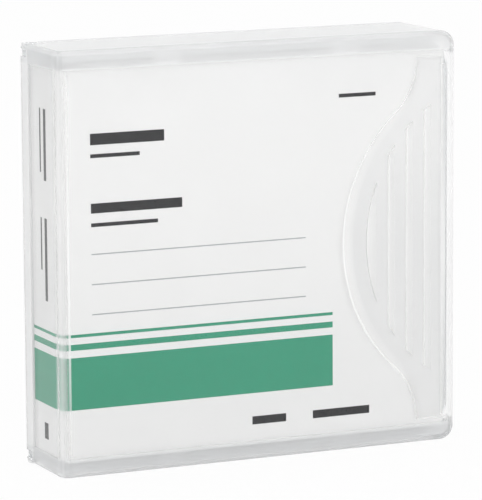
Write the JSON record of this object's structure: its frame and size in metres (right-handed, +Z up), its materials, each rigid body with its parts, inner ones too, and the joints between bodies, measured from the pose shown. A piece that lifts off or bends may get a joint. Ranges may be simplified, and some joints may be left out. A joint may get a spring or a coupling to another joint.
{
  "type": "data tape cartridge in hinged case",
  "caption": "Data tape cartridge shut in its clear hinged storage case, with a folded insert card and a ribbed grip recess on the lid.",
  "frame": {"origin": "middle of the case's footprint, on the surface that it stands on", "axes": "+Z up, -Y towards the printed front, -X towards the spine and its hinge"},
  "size_m": [0.1164, 0.0264, 0.113],
  "materials": {
    "lid_clear": "clear, lightly frosted moulding",
    "tray_frosted": "frosted moulding",
    "card_white": "coated card",
    "shell_grey": "finely textured moulding",
    "reel_white": "moulded",
    "flange_clear": "clear moulding",
    "tape_brown": "wound tape",
    "steel": "plain",
    "clip_black": "moulded",
    "door_grey": "moulded",
    "switch_red": "moulded",
    "board_green": "solder mask",
    "brake_ivory": "moulded"
  },
  "bodies": {
    "tray": {"case_tray": "tray_frosted", "shell_bottom": "shell_grey", "shell_top": "shell_grey", "shell_screws": "steel", "leader_pin": "steel", "leader_pin_clip": "clip_black", "leader_pin_springs": "steel", "leader_tape": "tape_brown", "door_spring": "steel", "brake_spring": "steel", "memory_chip": "board_green"},
    "lid": {"case_lid": "lid_clear", "insert_card": "card_white"},
    "reel": {"reel_hub": "reel_white", "reel_upper_flange": "flange_clear", "tape_pack": "tape_brown", "reel_drive_plate": "steel"},
    "release_pad": {"brake_release_pad": "brake_ivory"},
    "brake": {"brake_button": "brake_ivory"},
    "door": {"access_door": "door_grey"},
    "switch": {"write_protect_switch": "switch_red"}
  },
  "joints": [
    {"name": "lid_hinge", "type": "hinge", "parent": "tray", "child": "lid", "pos_m": [-0.0556, 0.0106, 0.0565], "axis": [0, 0, -1], "range_deg": [0, 180]},
    {"name": "reel_spin", "type": "hinge", "parent": "tray", "child": "reel", "pos_m": [0, 0, 0.0565], "axis": [0, 1, 0], "continuous": true},
    {"name": "release_pad_lift", "type": "slide", "parent": "reel", "child": "release_pad", "axis": [0, -1, 0], "range_m": [0, 0.0014]},
    {"name": "brake_lift", "type": "slide", "parent": "tray", "child": "brake", "axis": [0, -1, 0], "range_m": [0, 0.0014], "stiffness_N_per_m": 500, "springref_m": -0.003, "deforming": ["brake_spring"]},
    {"name": "door_slide", "type": "slide", "parent": "tray", "child": "door", "axis": [-1, 0, 0], "range_m": [0, 0.012], "stiffness_N_per_m": 30, "springref_m": -0.008, "deforming": ["door_spring"]},
    {"name": "write_protect_slide", "type": "slide", "parent": "tray", "child": "switch", "axis": [0, 0, 1], "range_m": [0, 0.004]}
  ],
  "couplings": [
    {"joint": "brake_lift", "follows": "release_pad_lift", "ratio": 1}
  ]
}
